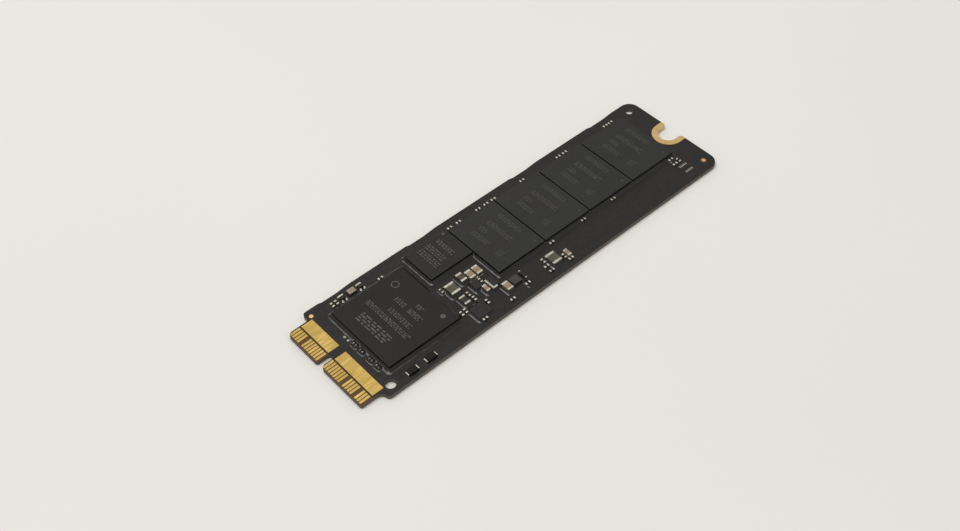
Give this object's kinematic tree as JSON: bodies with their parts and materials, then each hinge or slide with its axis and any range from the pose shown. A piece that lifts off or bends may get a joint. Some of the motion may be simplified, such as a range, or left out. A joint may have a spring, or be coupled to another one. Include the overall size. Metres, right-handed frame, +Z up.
{
  "type": "solid state drive",
  "caption": "Bare blade solid state drive: a long black circuit board with gold edge contacts, black memory chips in a row and a half-round screw notch.",
  "frame": {"origin": "middle of the underside, on the plane that the drive's label lies on", "axes": "+X from the edge connector to the screw notch, +Y across the board, +Z up out of the chip side"},
  "size_m": [0.087, 0.0242, 0.0019],
  "materials": {
    "laminate": "cut edge of dark glass-epoxy laminate",
    "solder_mask": "satin black solder mask",
    "contact_gold": "hard gold plating",
    "tin_solder": "reflowed tin solder",
    "chip_terminals": "tin-plated chip ends",
    "mold_compound": "matte black epoxy mould compound",
    "firmware_mold": "matte grey epoxy mould compound",
    "package_substrate": "dark green-black package substrate",
    "silicon": "bare silicon",
    "underfill": "glossy black epoxy underfill",
    "capacitor_ceramic": "fired tan ceramic",
    "resistor_glaze": "black glazed ceramic",
    "ferrite": "pressed dark grey ferrite",
    "copper_coil": "enamelled copper winding",
    "crystal_ceramic": "brown-grey ceramic",
    "crystal_lid": "dull nickel-iron lid",
    "label_paper": "blank matte label"
  },
  "bodies": {
    "root": {"bare_solder_pads": "tin_solder", "contact_bands_bottom": "contact_gold", "contact_bands_top": "contact_gold", "contact_fingers_bottom": "contact_gold", "contact_fingers_top": "contact_gold", "controller_die": "silicon", "controller_mold": "mold_compound", "controller_solder_balls": "tin_solder", "controller_substrate": "package_substrate", "controller_underfill": "underfill", "converter_chip": "mold_compound", "crystal_base": "crystal_ceramic", "crystal_lid": "crystal_lid", "diode_bodies": "mold_compound", "diode_clips": "tin_solder", "dram_die": "silicon", "dram_mold": "mold_compound", "dram_solder_balls": "tin_solder", "dram_substrate": "package_substrate", "edge_bond_beads": "underfill", "fiducial_dots": "contact_gold", "firmware_chip": "firmware_mold", "fuse_bodies": "mold_compound", "fuse_ends": "chip_terminals", "inductor_coils": "copper_coil", "inductor_cores": "ferrite", "inductor_ends": "chip_terminals", "label": "label_paper", "laminate_core": "laminate", "large_capacitor_ends": "chip_terminals", "large_capacitors": "capacitor_ceramic", "medium_capacitor_ends": "chip_terminals", "medium_capacitors": "capacitor_ceramic", "memory_underfill": "underfill", "nand_1_die": "silicon", "nand_1_mold": "mold_compound", "nand_1_substrate": "package_substrate", "nand_2_die": "silicon", "nand_2_mold": "mold_compound", "nand_2_substrate": "package_substrate", "nand_3_die": "silicon", "nand_3_mold": "mold_compound", "nand_3_substrate": "package_substrate", "nand_4_die": "silicon", "nand_4_mold": "mold_compound", "nand_4_substrate": "package_substrate", "nand_solder_balls": "tin_solder", "power_chip": "mold_compound", "screw_notch_plating": "contact_gold", "sense_resistor": "resistor_glaze", "sense_resistor_ends": "chip_terminals", "small_chip_ends": "chip_terminals", "small_chip_lands": "tin_solder", "small_chips": "resistor_glaze", "solder_mask_bottom": "solder_mask", "solder_mask_top": "solder_mask", "transistor_bodies": "mold_compound", "transistor_leads": "tin_solder"}
  },
  "joints": []
}
